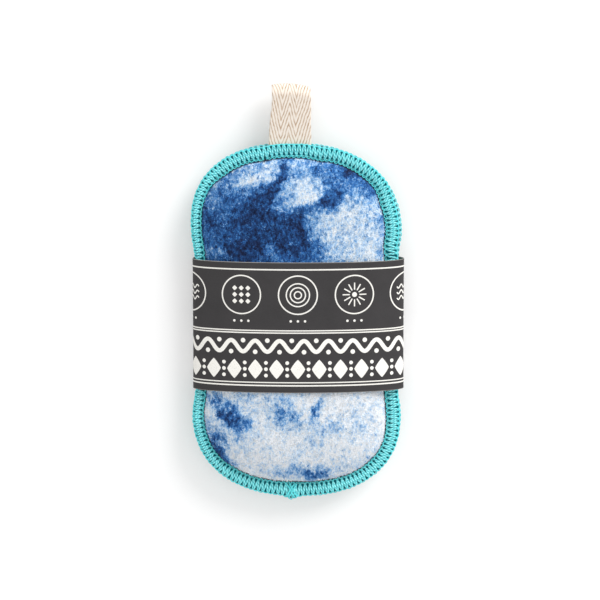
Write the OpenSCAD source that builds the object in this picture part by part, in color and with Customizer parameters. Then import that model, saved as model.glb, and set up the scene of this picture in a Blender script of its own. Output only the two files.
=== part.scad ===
// Padded cleaning sponge: a crowned plush face, a scrubbing mesh behind, an overlocked edge,
// a twill hanging loop and a paper sleeve round the middle.
// It lies on its mesh. X runs across, Y runs towards the loop and Z is up.
// The origin is on the bench, below the middle of the whole part.

/* [Pad] */
// Width over the stitched edge
pad_w = 95; // [84:0.5:108]
// Length over the stitched edge, without the loop
pad_l = 162; // [146:1:185]
// Depth of each rounded end
end_depth = 39; // [32:0.2:46]
// Squareness of the ends, where 2 is an ellipse
end_power = 2.3; // [2:0.1:2.8]
// Height of the plush face above the seam
front_rise = 12; // [10:0.5:16]
// Depth of the scrubbing face below the seam
back_drop = 9.1; // [7.5:0.1:12]
// Bulge that lying on the bench takes off the scrubbing face
back_bulge = 7; // [4:0.5:10]
// Sideways lean of the end with the loop
top_lean = -2.4; // [-4:0.2:4]
// Sideways lean of the other end
bottom_lean = 0.8; // [-4:0.2:4]

/* [Layers] */
// Thickness of the plush cloth with its pile
plush_t = 3; // [2:0.2:4]
// Thickness of the scrubbing mesh
mesh_t = 0.7; // [0.5:0.1:1.2]
// Thickness of each cloth where the seam presses it
lip_t = 0.8; // [0.6:0.1:1.2]
// Thickness of the foam where the seam presses it
foam_edge_t = 1.5; // [1:0.1:2]
// Clearance between one soft layer and the next
cloth_gap = 0.15; // [0.1:0.05:0.3]

/* [Mesh] */
// Width of a gap in the mesh
gap_w = 7; // [5.6:0.2:9]
// Length of a gap in the mesh
gap_l = 10.2; // [8:0.2:13]
// Width of a mesh strand
strand_w = 2; // [1.4:0.1:2.6]

/* [Stitching] */
// Width of the overlocked band
band_w = 6; // [5:0.25:7.5]
// Distance from one stitch to the next
stitch_pitch = 2.3; // [2:0.1:3]
// Height of the thread over the cloth
thread_t = 0.8; // [0.5:0.05:0.95]
// Height of the band in the dips between threads
dip_t = 0.3; // [0.2:0.05:0.4]
// Depth of the scallops along the inner edge
scallop = 0.9; // [0.4:0.1:1.4]
// Thickness of the threads that wrap the outer edge
wrap_t = 0.75; // [0.5:0.05:1]
// Depth of the notches between the threads at the outer edge
notch_t = 0.12; // [0.04:0.02:0.2]
// Reach of the crossed threads beyond the edge where the seam closes
tail_reach = 1.7; // [0.8:0.1:3]
// Width over which those threads rise
tail_w = 12; // [8:0.5:24]
// Distance of the thread tail from the middle of its end
tail_side = 4; // [0:0.2:8]

/* [Hanging loop] */
// Width of the tape
tape_w = 19; // [12:0.5:24]
// Thickness of the tape
tape_t = 0.75; // [0.5:0.05:1]
// Reach of the loop beyond the stitched edge
loop_reach = 27; // [20:0.5:40]
// Outer radius of the fold at the loop's end
fold_r = 4.3; // [3.8:0.1:6]
// Length of each tape end inside the seam
tape_tuck = 5; // [4:0.25:5.5]

/* [Sleeve] */
// Length of the sleeve along the sponge
sleeve_l = 59.5; // [45:0.5:75]
// Place of the sleeve's middle, measured from the pad's middle
sleeve_along = -1; // [-12:0.5:12]
// Thickness of the card
card_t = 0.35; // [0.25:0.05:0.5]
// Room on each side between the sleeve and the pad
side_ease = 1.25; // [1.1:0.05:2]
// Room above and below the pad
slip_gap = 0.25; // [0.15:0.05:0.5]
// Sideways shift of the sleeve on the pad
sleeve_side = 0.7; // [0:0.1:0.7]
// How far the sleeve draws each side of the pad in
waist = 1.4; // [0.6:0.1:2]
// Length over which the pad widens again
waist_fade = 13; // [9:0.5:20]
// Width of the glued overlap under the sponge
lap_w = 15; // [10:0.5:22]

/* [Hidden] */

half_w = pad_w / 2;
straight_half = pad_l / 2 - end_depth;
seam_z = 2 * card_t + slip_gap + back_drop;
seam_room = max(foam_edge_t, 2 * tape_t) / 2;
lip_under = seam_room + cloth_gap;
lip_top = lip_under + lip_t;
lip_inset = wrap_t + 2 * cloth_gap;
stitch_z = lip_top + cloth_gap;

// The whole part is centred: the loop and the thread tail set its length,
// and the pad's or the sleeve's side sets its width, whichever reaches further.
sleeve_half_w = half_w - waist + side_ease + card_t;
right_reach = max(half_w, sleeve_half_w + sleeve_side);
left_reach = max(half_w, sleeve_half_w - sleeve_side);
pad_x = (left_reach - right_reach) / 2;
pad_y = (tail_reach - loop_reach) / 2;

// Outline of the pad, clockwise from the middle of the looped end
function smooth(u) = u <= 0 ? 0 : u >= 1 ? 1 : u * u * (3 - 2 * u);
function pinch(y) = 1 - waist / half_w * (1 - smooth((abs(y - sleeve_along) - sleeve_l / 2) / waist_fade));
function lean(y) =
    y > 0 ? top_lean * max(0, y - straight_half) / end_depth
          : bottom_lean * max(0, -y - straight_half) / end_depth;
function placed(x, y) = [x * pinch(y) + lean(y), y];
function end_x(t) = half_w * pow(cos(t), 2 / end_power);
function end_y(t) = straight_half + end_depth * pow(sin(t), 2 / end_power);
end_steps = 36;
side_steps = 24;
outline = concat(
    [for (i = [0:end_steps]) let (t = 90 - 90 * i / end_steps) placed(end_x(t), end_y(t))],
    [for (i = [1:side_steps - 1]) placed(half_w, straight_half * (1 - 2 * i / side_steps))],
    [for (i = [0:end_steps]) let (t = 90 * i / end_steps) placed(end_x(t), -end_y(t))],
    [for (i = [1:end_steps]) let (t = 90 - 90 * i / end_steps) placed(-end_x(t), -end_y(t))],
    [for (i = [1:side_steps - 1]) placed(-half_w, straight_half * (2 * i / side_steps - 1))],
    [for (i = [0:end_steps]) let (t = 90 * i / end_steps) placed(-end_x(t), end_y(t))]
);

// Distance along the outline at each of its points, and the outline read back by that distance
last = len(outline) - 1;
travel = [for (i = 0, a = 0; i <= last; a = a + norm(outline[min(i + 1, last)] - outline[i]), i = i + 1) a];
girth = travel[last];
x_by_travel = [for (i = [0:last]) [travel[i], outline[i][0]]];
y_by_travel = [for (i = [0:last]) [travel[i], outline[i][1]]];
function turn(a) = a - girth * floor(a / girth);
function edge(a) = [lookup(turn(a), x_by_travel), lookup(turn(a), y_by_travel)];
normal_reach = 1.2;
function outward(a) =
    let (d = edge(a + normal_reach) - edge(a - normal_reach)) [-d[1], d[0]] / norm(d);
function inset(a, d) = edge(a) - d * outward(a);

// A ring of points at one height, and a ring drawn in towards the pad's spine to the share s
ring_count = 72;
function ring_travel(i) = girth * i / ring_count;
function lip_ring(d, z) =
    [for (i = [0:ring_count - 1]) let (p = inset(ring_travel(i), d)) [p[0], p[1], z]];
function spine(p) = [lean(p[1]), max(-straight_half, min(straight_half, p[1]))];
function crown_ring(d, s, z) =
    [for (i = [0:ring_count - 1])
        let (p = inset(ring_travel(i), d), q = spine(p), r = q + s * (p - q)) [r[0], r[1], z]];

// Height of a crowned face over its seam, and depth of the face that the bench flattens
function crown(s, base, rise) = base + (rise - base) * sqrt(1 - s * s);
function flattened(s, base, drop) = min(drop, base + (drop + back_bulge - base) * sqrt(1 - s * s));
function flat_share(base, drop) = sqrt(1 - pow((drop - base) / (drop + back_bulge - base), 2));
top_shares = [0.16, 0.38, 0.58, 0.75, 0.88, 0.96, 1];
under_shares = [1, 0.985, 0.94];

// A closed skin over rings of equal length: capped at both ends, or joined last to first
module skin(rings, looped = false) {
    n = len(rings[0]);
    m = len(rings);
    steps = looped ? m : m - 1;
    walls = [for (k = [0:steps - 1], i = [0:n - 1])
        let (a = k * n, b = (k + 1) % m * n, j = (i + 1) % n)
            each [[a + i, b + j, a + j], [a + i, b + i, b + j]]];
    caps = looped ? [] : [[for (i = [0:n - 1]) i], [for (i = [n - 1:-1:0]) (m - 1) * n + i]];
    polyhedron(points = [for (r = rings) each r], faces = concat(walls, caps));
}

module on_pad() {
    translate([pad_x, pad_y, seam_z]) children();
}

// Foam pad, with a pressed edge that the seam holds and a notch where the tape passes
module foam_core() {
    top_d = band_w + plush_t + cloth_gap;
    under_d = band_w + mesh_t + cloth_gap;
    rise = front_rise - plush_t - cloth_gap;
    drop = back_drop - mesh_t - cloth_gap;
    half_edge = foam_edge_t / 2;
    flat = flat_share(half_edge, drop);
    edge_d = lip_inset + cloth_gap;
    notch_y = pad_l / 2 - tape_tuck - cloth_gap;
    color("#efe6c8") on_pad() difference() {
        skin(concat(
            [for (s = top_shares) crown_ring(top_d, s, crown(s, half_edge, rise))],
            [lip_ring(edge_d, half_edge), lip_ring(edge_d, -half_edge)],
            [for (s = under_shares) crown_ring(under_d, s, -flattened(s, half_edge, drop))],
            [crown_ring(under_d, flat, -drop)]
        ));
        translate([top_lean - tape_w / 2 - cloth_gap, notch_y, -half_edge - 1])
            cube([tape_w + 2 * cloth_gap, band_w + tape_tuck, 2 * half_edge + 2]);
    }
}

// Plush face: a crowned shell that ends in a flat lip inside the stitching
module front_panel() {
    in_d = band_w + plush_t;
    in_rise = front_rise - plush_t;
    color("#6d93d4") on_pad() skin(concat(
        [for (s = top_shares) crown_ring(band_w, s, crown(s, lip_top, front_rise))],
        [lip_ring(lip_inset, lip_top), lip_ring(lip_inset, lip_under)],
        [for (k = [len(top_shares) - 1:-1:0])
            let (s = top_shares[k]) crown_ring(in_d, s, crown(s, lip_under, in_rise))]
    ));
}

// One diamond gap of the mesh, and whether it lies inside the flat of the face
module mesh_gap() {
    polygon([[gap_w / 2, 0], [0, gap_l / 2], [-gap_w / 2, 0], [0, -gap_l / 2]]);
}
function share_at(x, y, d) =
    pow(pow(abs(x) / (half_w - waist - d), end_power)
        + pow(max(0, abs(y) - straight_half) / (end_depth - d), end_power), 1 / end_power);
function gap_fits(x, y, d, flat) =
    max(share_at(abs(x) + gap_w / 2, y, d), share_at(x, abs(y) + gap_l / 2, d)) < flat - 0.03;

// Scrubbing mesh: a flat net whose solid border curves up to a lip inside the stitching
module scrubber_mesh() {
    flat = flat_share(lip_top, back_drop);
    in_d = band_w + mesh_t;
    in_drop = back_drop - mesh_t;
    step_x = gap_w + strand_w * norm([gap_w, gap_l]) / gap_l;
    step_y = gap_l + strand_w * norm([gap_w, gap_l]) / gap_w;
    columns = ceil(half_w / step_x);
    rows = ceil(pad_l / step_y);
    color("#c9d3da") on_pad() union() {
        skin(concat(
            [lip_ring(lip_inset, -lip_under), lip_ring(lip_inset, -lip_top)],
            [for (s = under_shares) crown_ring(band_w, s, -flattened(s, lip_top, back_drop))],
            [crown_ring(band_w, flat, -back_drop), crown_ring(band_w, flat, -in_drop)],
            [for (k = [len(under_shares) - 1:-1:0])
                let (s = under_shares[k]) crown_ring(in_d, s, -flattened(s, lip_under, in_drop))]
        ), looped = true);
        translate([0, 0, -back_drop]) linear_extrude(mesh_t) difference() {
            polygon([for (p = crown_ring(band_w, flat, 0)) [p[0], p[1]]]);
            for (row = [-rows:rows], column = [-columns:columns]) {
                x = step_x * (column + (row % 2 == 0 ? 0 : 0.5));
                y = step_y / 2 * row;
                if (gap_fits(x, y, band_w, flat)) translate([x, y]) mesh_gap();
            }
        }
    }
}

// Overlocked edge: threads that cross the band on both faces and wrap round its outer edge.
// Each stitch is two steps along the edge. At the inner edge the even steps stand high and reach
// inwards as scallops, and at the outer edge the odd steps stand high, so that each pair of threads
// spreads from the outer edge round a dip. Where the tape leaves the seam the wrap is open.
function tail(a) =
    tail_reach * pow(max(0, 1 - abs(a - girth / 2 - tail_side) / (tail_w / 2)), 1.5);
module edge_stitching() {
    count = 2 * round(girth / stitch_pitch);
    open_steps = ceil((tape_w / 2 + cloth_gap) / (girth / count));
    inner_d = band_w - 2 * cloth_gap;
    crest_d = band_w * 0.55;
    shoulder_d = wrap_t * 0.8;
    high = stitch_z + thread_t;
    low = stitch_z + dip_t;
    function section(i) =
        let (a = girth * i / count, even = i % 2 == 0, out = tail(a), wrap = even ? notch_t : 0,
             end_d = even ? inner_d : inner_d - scallop,
             top = [[end_d, stitch_z], [end_d, even ? high : low], [crest_d, high],
                    [shoulder_d, even ? low : high - notch_t], [wrap - out, 0]],
             bottom = [for (k = [3:-1:0]) [top[k][0], -top[k][1]]],
             inside = [[wrap_t, -stitch_z], [wrap_t, stitch_z]])
        [for (p = concat(top, bottom, inside)) let (q = inset(a, p[0])) [q[0], q[1], p[1]]];
    points = [for (i = [0:count - 1]) each section(i)];
    size = 11;
    legs = [[0, 1], [1, 2], [2, 3], [5, 6], [6, 7], [7, 8], [8, 9], [10, 0]];
    wrapped = [[3, 4], [4, 5], [9, 10]];
    opened = [[3, 10], [9, 5]];
    function is_open(i) = i < open_steps || i >= count - open_steps;
    function wall(i, pair) =
        let (a = i * size, b = (i + 1) % count * size)
        [[a + pair[0], a + pair[1], b + pair[1]], [a + pair[0], b + pair[1], b + pair[0]]];
    walls = [for (i = [0:count - 1]) each
        [for (pair = concat(legs, is_open(i) ? opened : wrapped)) each wall(i, pair)]];
    from = open_steps * size;
    to = (count - open_steps) * size;
    caps = [[from + 3, from + 10, from + 9], [from + 3, from + 9, from + 5], [from + 3, from + 5, from + 4],
            [to + 3, to + 9, to + 10], [to + 3, to + 5, to + 9], [to + 3, to + 4, to + 5]];
    color("#3fd0cc") on_pad() polyhedron(points = points, faces = concat(walls, caps));
}

// Hanging loop: one strip of tape whose two ends lie together in the seam and part into a round fold
module hanging_loop() {
    fold_y = pad_l / 2 + loop_reach - fold_r;
    meet_y = pad_l / 2 + 1;
    span = norm([fold_y - meet_y, tape_t]);
    lean_angle = 180 - atan2(tape_t, fold_y - meet_y) - acos(fold_r / span);
    in_r = fold_r - tape_t;
    function touch(r) = [fold_y + r * cos(lean_angle), r * sin(lean_angle)];
    start_y = pad_l / 2 - tape_tuck;
    inner_y = fold_y + in_r / cos(lean_angle);
    color("#f3ead9") on_pad() translate([top_lean, 0, 0]) rotate([90, 0, 90])
        linear_extrude(tape_w, center = true) difference() {
            union() {
                translate([fold_y, 0]) circle(fold_r, $fn = 64);
                polygon([[start_y, -tape_t], [meet_y, -tape_t], [touch(fold_r)[0], -touch(fold_r)[1]],
                         touch(fold_r), [meet_y, tape_t], [start_y, tape_t]]);
            }
            translate([fold_y, 0]) circle(in_r, $fn = 64);
            polygon([[inner_y, 0], [touch(in_r)[0], -touch(in_r)[1]], touch(in_r)]);
        }
}

// Paper sleeve: a card ring that follows the pad and lies flat on the bench, glued where it laps
module sleeve_outline(half, rise, drop, bottom) {
    steps = 72;
    polygon([for (i = [0:steps - 1]) let (t = 360 * i / steps)
        [half * cos(t), sin(t) >= 0 ? seam_z + rise * sin(t) : max(bottom, seam_z + drop * sin(t))]]);
}
module paper_sleeve() {
    rise = front_rise + slip_gap;
    drop = seam_z + back_bulge;
    lap_ramp = 3;
    color("#474546") translate([pad_x + sleeve_side, pad_y + sleeve_along, 0]) rotate([90, 0, 0])
        linear_extrude(sleeve_l, center = true) {
            difference() {
                sleeve_outline(sleeve_half_w, rise + card_t, drop, 0);
                sleeve_outline(sleeve_half_w - card_t, rise, drop - card_t, card_t);
                polygon([[-lap_w / 2 - lap_ramp, 0], [-lap_w / 2, card_t], [-lap_w / 2, 0]]);
            }
            polygon([[lap_w / 2, card_t], [lap_w / 2, 2 * card_t], [-lap_w / 2, 2 * card_t],
                     [-lap_w / 2 - lap_ramp, card_t]]);
        }
}

foam_core();
front_panel();
scrubber_mesh();
edge_stitching();
hanging_loop();
paper_sleeve();
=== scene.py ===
import math

import bpy
import numpy as np
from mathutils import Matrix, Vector
from mathutils.bvhtree import BVHTree


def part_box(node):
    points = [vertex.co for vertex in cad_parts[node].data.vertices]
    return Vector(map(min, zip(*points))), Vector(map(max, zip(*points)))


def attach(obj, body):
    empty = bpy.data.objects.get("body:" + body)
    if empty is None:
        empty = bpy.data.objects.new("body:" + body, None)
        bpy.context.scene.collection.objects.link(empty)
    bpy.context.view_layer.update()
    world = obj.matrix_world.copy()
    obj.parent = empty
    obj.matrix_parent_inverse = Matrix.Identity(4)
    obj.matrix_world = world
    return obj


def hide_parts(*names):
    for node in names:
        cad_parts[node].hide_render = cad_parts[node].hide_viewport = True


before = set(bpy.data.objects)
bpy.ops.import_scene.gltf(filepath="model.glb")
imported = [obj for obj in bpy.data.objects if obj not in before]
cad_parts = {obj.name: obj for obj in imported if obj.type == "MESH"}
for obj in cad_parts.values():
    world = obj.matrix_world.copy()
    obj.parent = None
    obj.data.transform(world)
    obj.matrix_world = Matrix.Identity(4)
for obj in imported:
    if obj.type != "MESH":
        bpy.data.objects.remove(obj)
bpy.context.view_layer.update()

MM = 0.001
TAU = 2 * math.pi

# Sizes of the pad in millimetres, as the construction has them
PAD_W = 95.0
PAD_L = 162.0
END_DEPTH = 39.0
END_POWER = 2.3
FRONT_RISE = 12.0
BACK_DROP = 9.1
BACK_BULGE = 7.0
TOP_LEAN = -2.4
BOTTOM_LEAN = 0.8
BAND_W = 6.0
LIP_TOP = 1.7
LIP_UNDER = 0.9
STITCH_PITCH = 2.3
TAIL_REACH = 1.7
TAIL_W = 12.0
TAIL_SIDE = 4.0
TAPE_W = 19.0
TAPE_T = 0.75
TAPE_TUCK = 5.0
LOOP_REACH = 27.0
FOLD_R = 4.3
SLEEVE_L = 59.5
SLEEVE_ALONG = -1.0
SLEEVE_SIDE = 0.7
SLIP_GAP = 0.25
CARD_T = 0.35
WAIST = 1.4
WAIST_FADE = 13.0
LAP_W = 15.0
LAP_RAMP = 3.0

HALF_W = PAD_W / 2
STRAIGHT_HALF = PAD_L / 2 - END_DEPTH


def node_centre(node):
    low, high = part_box(node)
    return (low + high) / 2 / MM


# The pad's own origin, read from where the frame has the sleeve and the loop
SLEEVE_AT = node_centre("paper_sleeve")
PAD_AT = np.array([SLEEVE_AT.x - SLEEVE_SIDE, SLEEVE_AT.y - SLEEVE_ALONG, node_centre("hanging_loop").z])
SEAM_Z = PAD_AT[2]


def smooth(u):
    u = np.clip(u, 0, 1)
    return u * u * (3 - 2 * u)


def rise(a, start, width):
    """From 0 to 1 over a width that begins at start."""
    return smooth((a - start) / width)


def hump(a, middle, width):
    return np.exp(-((a - middle) / width) ** 2)


def unit(v):
    return v / np.linalg.norm(v, axis=-1, keepdims=True)


# Outline of the pad, clockwise from the middle of the looped end, read back by the distance along it
def pinch(y):
    return 1 - WAIST / HALF_W * (1 - smooth((np.abs(y - SLEEVE_ALONG) - SLEEVE_L / 2) / WAIST_FADE))


def lean(y):
    beyond = np.maximum(0, np.abs(y) - STRAIGHT_HALF) / END_DEPTH
    return np.where(y > 0, TOP_LEAN, BOTTOM_LEAN) * beyond


def make_outline():
    t = np.radians(np.linspace(90, 0, 181))
    end_x = HALF_W * np.cos(t).clip(0) ** (2 / END_POWER)
    end_y = STRAIGHT_HALF + END_DEPTH * np.sin(t) ** (2 / END_POWER)
    side_y = np.linspace(STRAIGHT_HALF, -STRAIGHT_HALF, 81)[1:-1]
    side_x = np.full_like(side_y, HALF_W)
    x = np.concatenate([end_x, side_x, end_x[::-1], -end_x[1:], -side_x, -end_x[::-1]])
    y = np.concatenate([end_y, side_y, -end_y[::-1], -end_y[1:], -side_y, end_y[::-1]])
    return np.stack([x * pinch(y) + lean(y), y], -1)


def travel_of(run):
    """Distance along a run of points to each of them."""
    return np.concatenate([[0], np.cumsum(np.linalg.norm(np.diff(run, axis=0), axis=1))])


def on_run(run, travel, s):
    return np.stack([np.interp(s, travel, run[:, k]) for k in (0, 1)], -1)


OUTLINE = make_outline()
TRAVEL = travel_of(OUTLINE)
GIRTH = TRAVEL[-1]


def all_round(count):
    """Distances along the edge of evenly spread places."""
    return GIRTH * np.arange(count) / count


def edge(a):
    return on_run(OUTLINE, TRAVEL, np.mod(a, GIRTH))


def run_way(paths, closed=False):
    """Way that runs of points (..., points, size) go at each point."""
    if closed:
        return unit(np.roll(paths, -1, axis=-2) - np.roll(paths, 1, axis=-2))
    return unit(np.gradient(paths, axis=-2))


def outward(a, reach=1.2):
    d = edge(a + reach) - edge(a - reach)
    return unit(np.stack([-d[..., 1], d[..., 0]], -1))


def inset(a, d):
    return edge(a) - np.asarray(d)[..., None] * outward(a)


def edge_depth(xy):
    """Distance in from the outline to each point, less what the edge rolls in by, at the band's own scale."""
    a = all_round(720)
    rim, out, rolled, share = edge(a), outward(a), roll(a), band_share(a)
    best = np.empty(len(xy))
    batch = 4000
    for start in range(0, len(xy), batch):
        gap = xy[start:start + batch, None, :] - rim[None]
        near = np.argmin((gap ** 2).sum(-1), axis=1)
        depth = -(gap[np.arange(len(near)), near] * out[near]).sum(-1)
        best[start:start + batch] = (depth - rolled[near]) / share[near]
    return best


def roll(a):
    """How far the upper face's band lies in from the lower one's, where the edge shows from above."""
    a = np.mod(a, GIRTH)
    right = rise(a, 46, 12) * (1 - rise(a, 78, 9))
    low_right = hump(a, GIRTH / 2 - 66, 9)
    by_tape = hump(np.minimum(a, GIRTH - a), 13.5, 4.5)
    return 1.35 * right + 0.6 * low_right + 0.65 * by_tape


def band_share(a):
    """Share of its full width that the band shows from above: less on the left, where the edge turns down."""
    left = GIRTH - np.mod(a, GIRTH)
    upper = rise(left, 34, 14) * (1 - rise(left, 130, 40))
    lower = rise(left, 130, 40) * (1 - rise(left, GIRTH / 2 - 52, 20))
    return 1 - 0.23 * upper - 0.14 * lower + 0.10 * hump(left, GIRTH / 2, 32)


def turned(a):
    """How far the edge has turned down on the left, where only faint holes show along its outer side."""
    left = GIRTH - np.mod(a, GIRTH)
    return rise(left, 44, 14) * (1 - rise(left, GIRTH / 2 - 60, 20))


def spine(p):
    return np.stack([lean(p[..., 1]), np.clip(p[..., 1], -STRAIGHT_HALF, STRAIGHT_HALF)], -1)


def to_world(p):
    return (np.asarray(p) + PAD_AT) * MM


# One stream of random draws for the whole scene: another order of draws gives another sponge
rng = np.random.default_rng(11)


class Field:
    """Smooth random values over space, made of waves of about one length."""

    def __init__(self, wave_mm, seed, count=28):
        own = np.random.default_rng(seed)
        way = unit(own.normal(size=(count, 3)))
        self.way = way * (TAU / wave_mm) * own.uniform(0.7, 1.4, (count, 1))
        self.start = own.uniform(0, TAU, count)
        self.scale = math.sqrt(2 / count)

    def __call__(self, p):
        return sum(np.sin(p @ way + start) for way, start in zip(self.way, self.start)) * self.scale


# Mesh building
def new_object(name, mesh):
    obj = bpy.data.objects.new(name, mesh)
    bpy.context.scene.collection.objects.link(obj)
    return obj


def build_mesh(name, points, faces, material=None, uv=None):
    """Smooth mesh from an array of points in metres and an array of faces of one size."""
    faces = np.asarray(faces, np.int32)
    mesh = bpy.data.meshes.new(name)
    mesh.vertices.add(len(points))
    mesh.vertices.foreach_set("co", np.asarray(points, np.float32).ravel())
    sides = faces.shape[1]
    mesh.loops.add(faces.size)
    mesh.loops.foreach_set("vertex_index", faces.ravel())
    mesh.polygons.add(len(faces))
    mesh.polygons.foreach_set("loop_start", np.arange(0, faces.size, sides, dtype=np.int32))
    mesh.polygons.foreach_set("loop_total", np.full(len(faces), sides, np.int32))
    mesh.polygons.foreach_set("use_smooth", np.full(len(faces), True))
    mesh.update(calc_edges=True)
    mesh.validate()
    if uv is not None:
        mesh.uv_layers.new(name="along").data.foreach_set("uv", np.asarray(uv, np.float32).ravel())
    if material:
        mesh.materials.append(material)
    return new_object(name, mesh)


def vectors_of(items, field):
    values = np.empty(len(items) * 3, np.float32)
    items.foreach_get(field, values)
    return values.reshape(-1, 3).astype(float)


def points_of(mesh):
    return vectors_of(mesh.vertices, "co")


def set_points(mesh, co):
    mesh.vertices.foreach_set("co", np.asarray(co, np.float32).ravel())
    mesh.update()


def normals_of(mesh):
    return vectors_of(mesh.vertex_normals, "vector")


def add_attribute(mesh, name, values):
    layer = mesh.attributes.new(name, "FLOAT", "POINT")
    layer.data.foreach_set("value", np.asarray(values, np.float32))


def settle(obj):
    """Puts the result of the object's modifiers into its mesh."""
    graph = bpy.context.evaluated_depsgraph_get()
    graph.update()
    mesh = bpy.data.meshes.new_from_object(obj.evaluated_get(graph))
    obj.modifiers.clear()
    old = obj.data
    obj.data = mesh
    bpy.data.meshes.remove(old)
    return mesh


def grid_faces(rows, columns, wrap_rows=False, wrap_columns=False):
    r = np.arange(rows if wrap_rows else rows - 1)
    c = np.arange(columns if wrap_columns else columns - 1)
    r, c = np.meshgrid(r, c, indexing="ij")
    r2, c2 = (r + 1) % rows, (c + 1) % columns
    quads = np.stack([r * columns + c, r2 * columns + c, r2 * columns + c2, r * columns + c2], -1)
    return quads.reshape(-1, 4)


def sheet_faces(rows, columns, wrap=False):
    """Faces of a thin sheet of two layers of points: its two sides, then its cut edges."""
    n = rows * columns
    side = grid_faces(rows, columns, wrap_columns=wrap)
    parts = [side, side[:, ::-1] + n]
    if not wrap:
        k = np.arange(rows - 1) * columns
        parts.append(np.stack([k, k + n, k + columns + n, k + columns], -1))
        parts.append(np.stack([k, k + columns, k + columns + n, k + n], -1) + columns - 1)
    c = np.arange(len(side) // (rows - 1))
    c2 = (c + 1) % columns
    parts.append(np.stack([c, c2, c2 + n, c + n], -1))
    parts.append(np.stack([c, c + n, c2 + n, c2], -1) + (rows - 1) * columns)
    return np.concatenate(parts)


def tubes(paths, radii, sides=6, closed=False):
    """Tubes along paths of shape (count, points, 3) in millimetres.
    Gives the points, the quads and a UV of millimetres along and turns round."""
    count, steps, _ = paths.shape
    radii = np.broadcast_to(radii, (count, steps))
    tangent = run_way(paths, closed)
    side = np.zeros_like(paths)
    side[:, 0] = unit(np.cross(tangent[:, 0], np.array([0.13, 0.21, 1.0])))
    for k in range(1, steps):
        carried = side[:, k - 1]
        side[:, k] = unit(carried - (carried * tangent[:, k]).sum(-1, keepdims=True) * tangent[:, k])
    other = np.cross(tangent, side)
    angle = np.zeros((count, steps))
    if closed:
        # Twists the tube a little, so that its last ring meets its first
        last = side[:, -1] - (side[:, -1] * tangent[:, 0]).sum(-1, keepdims=True) * tangent[:, 0]
        turn = np.arctan2((last * other[:, 0]).sum(-1), (last * side[:, 0]).sum(-1))
        angle = -turn[:, None] * np.arange(steps)[None] / steps
    ring = angle[..., None] + np.linspace(0, TAU, sides, endpoint=False)
    spread = side[:, :, None] * np.cos(ring)[..., None] + other[:, :, None] * np.sin(ring)[..., None]
    points = paths[:, :, None] + radii[:, :, None, None] * spread
    quads = grid_faces(steps, sides, wrap_rows=closed, wrap_columns=True)[:, ::-1]
    faces = (quads[None] + (np.arange(count) * steps * sides)[:, None, None]).reshape(-1, 4)
    step_len = np.linalg.norm(np.diff(paths, axis=1), axis=-1).mean()
    r, c = np.meshgrid(np.arange(steps if closed else steps - 1), np.arange(sides), indexing="ij")
    u = np.stack([r, r + 1, r + 1, r], -1).reshape(-1, 4) * step_len
    v = np.stack([c, c, c + 1, c + 1], -1).reshape(-1, 4) / sides
    uv = np.stack([u, v], -1)[:, ::-1].reshape(-1, 2)
    return points.reshape(-1, 3), faces, np.tile(uv, (count, 1))


NO_UV = np.zeros((0, 2))


def join_parts(parts):
    """One set of points, faces and UVs from several."""
    points, faces, uv = zip(*parts)
    start = np.cumsum([0] + [len(p) for p in points[:-1]])
    return np.concatenate(points), np.concatenate([f + s for f, s in zip(faces, start)]), np.concatenate(uv)


def rounded_path(points, count):
    """Smooth closed run through given points: a Catmull-Rom curve."""
    n = len(points)
    t = np.linspace(0, n, count, endpoint=False)
    k = np.floor(t).astype(int)
    f = (t - k)[:, None]
    p0, p1, p2, p3 = (points[(k + j) % n] for j in (-1, 0, 1, 2))
    return 0.5 * (2 * p1 + (p2 - p0) * f + (2 * p0 - 5 * p1 + 4 * p2 - p3) * f ** 2
                  + (3 * p1 - p0 - 3 * p2 + p3) * f ** 3)


# Materials
def srgb(text):
    values = [int(text[k:k + 2], 16) / 255 for k in (0, 2, 4)]
    return tuple(v / 12.92 if v <= 0.04045 else ((v + 0.055) / 1.055) ** 2.4 for v in values) + (1.0,)


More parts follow.
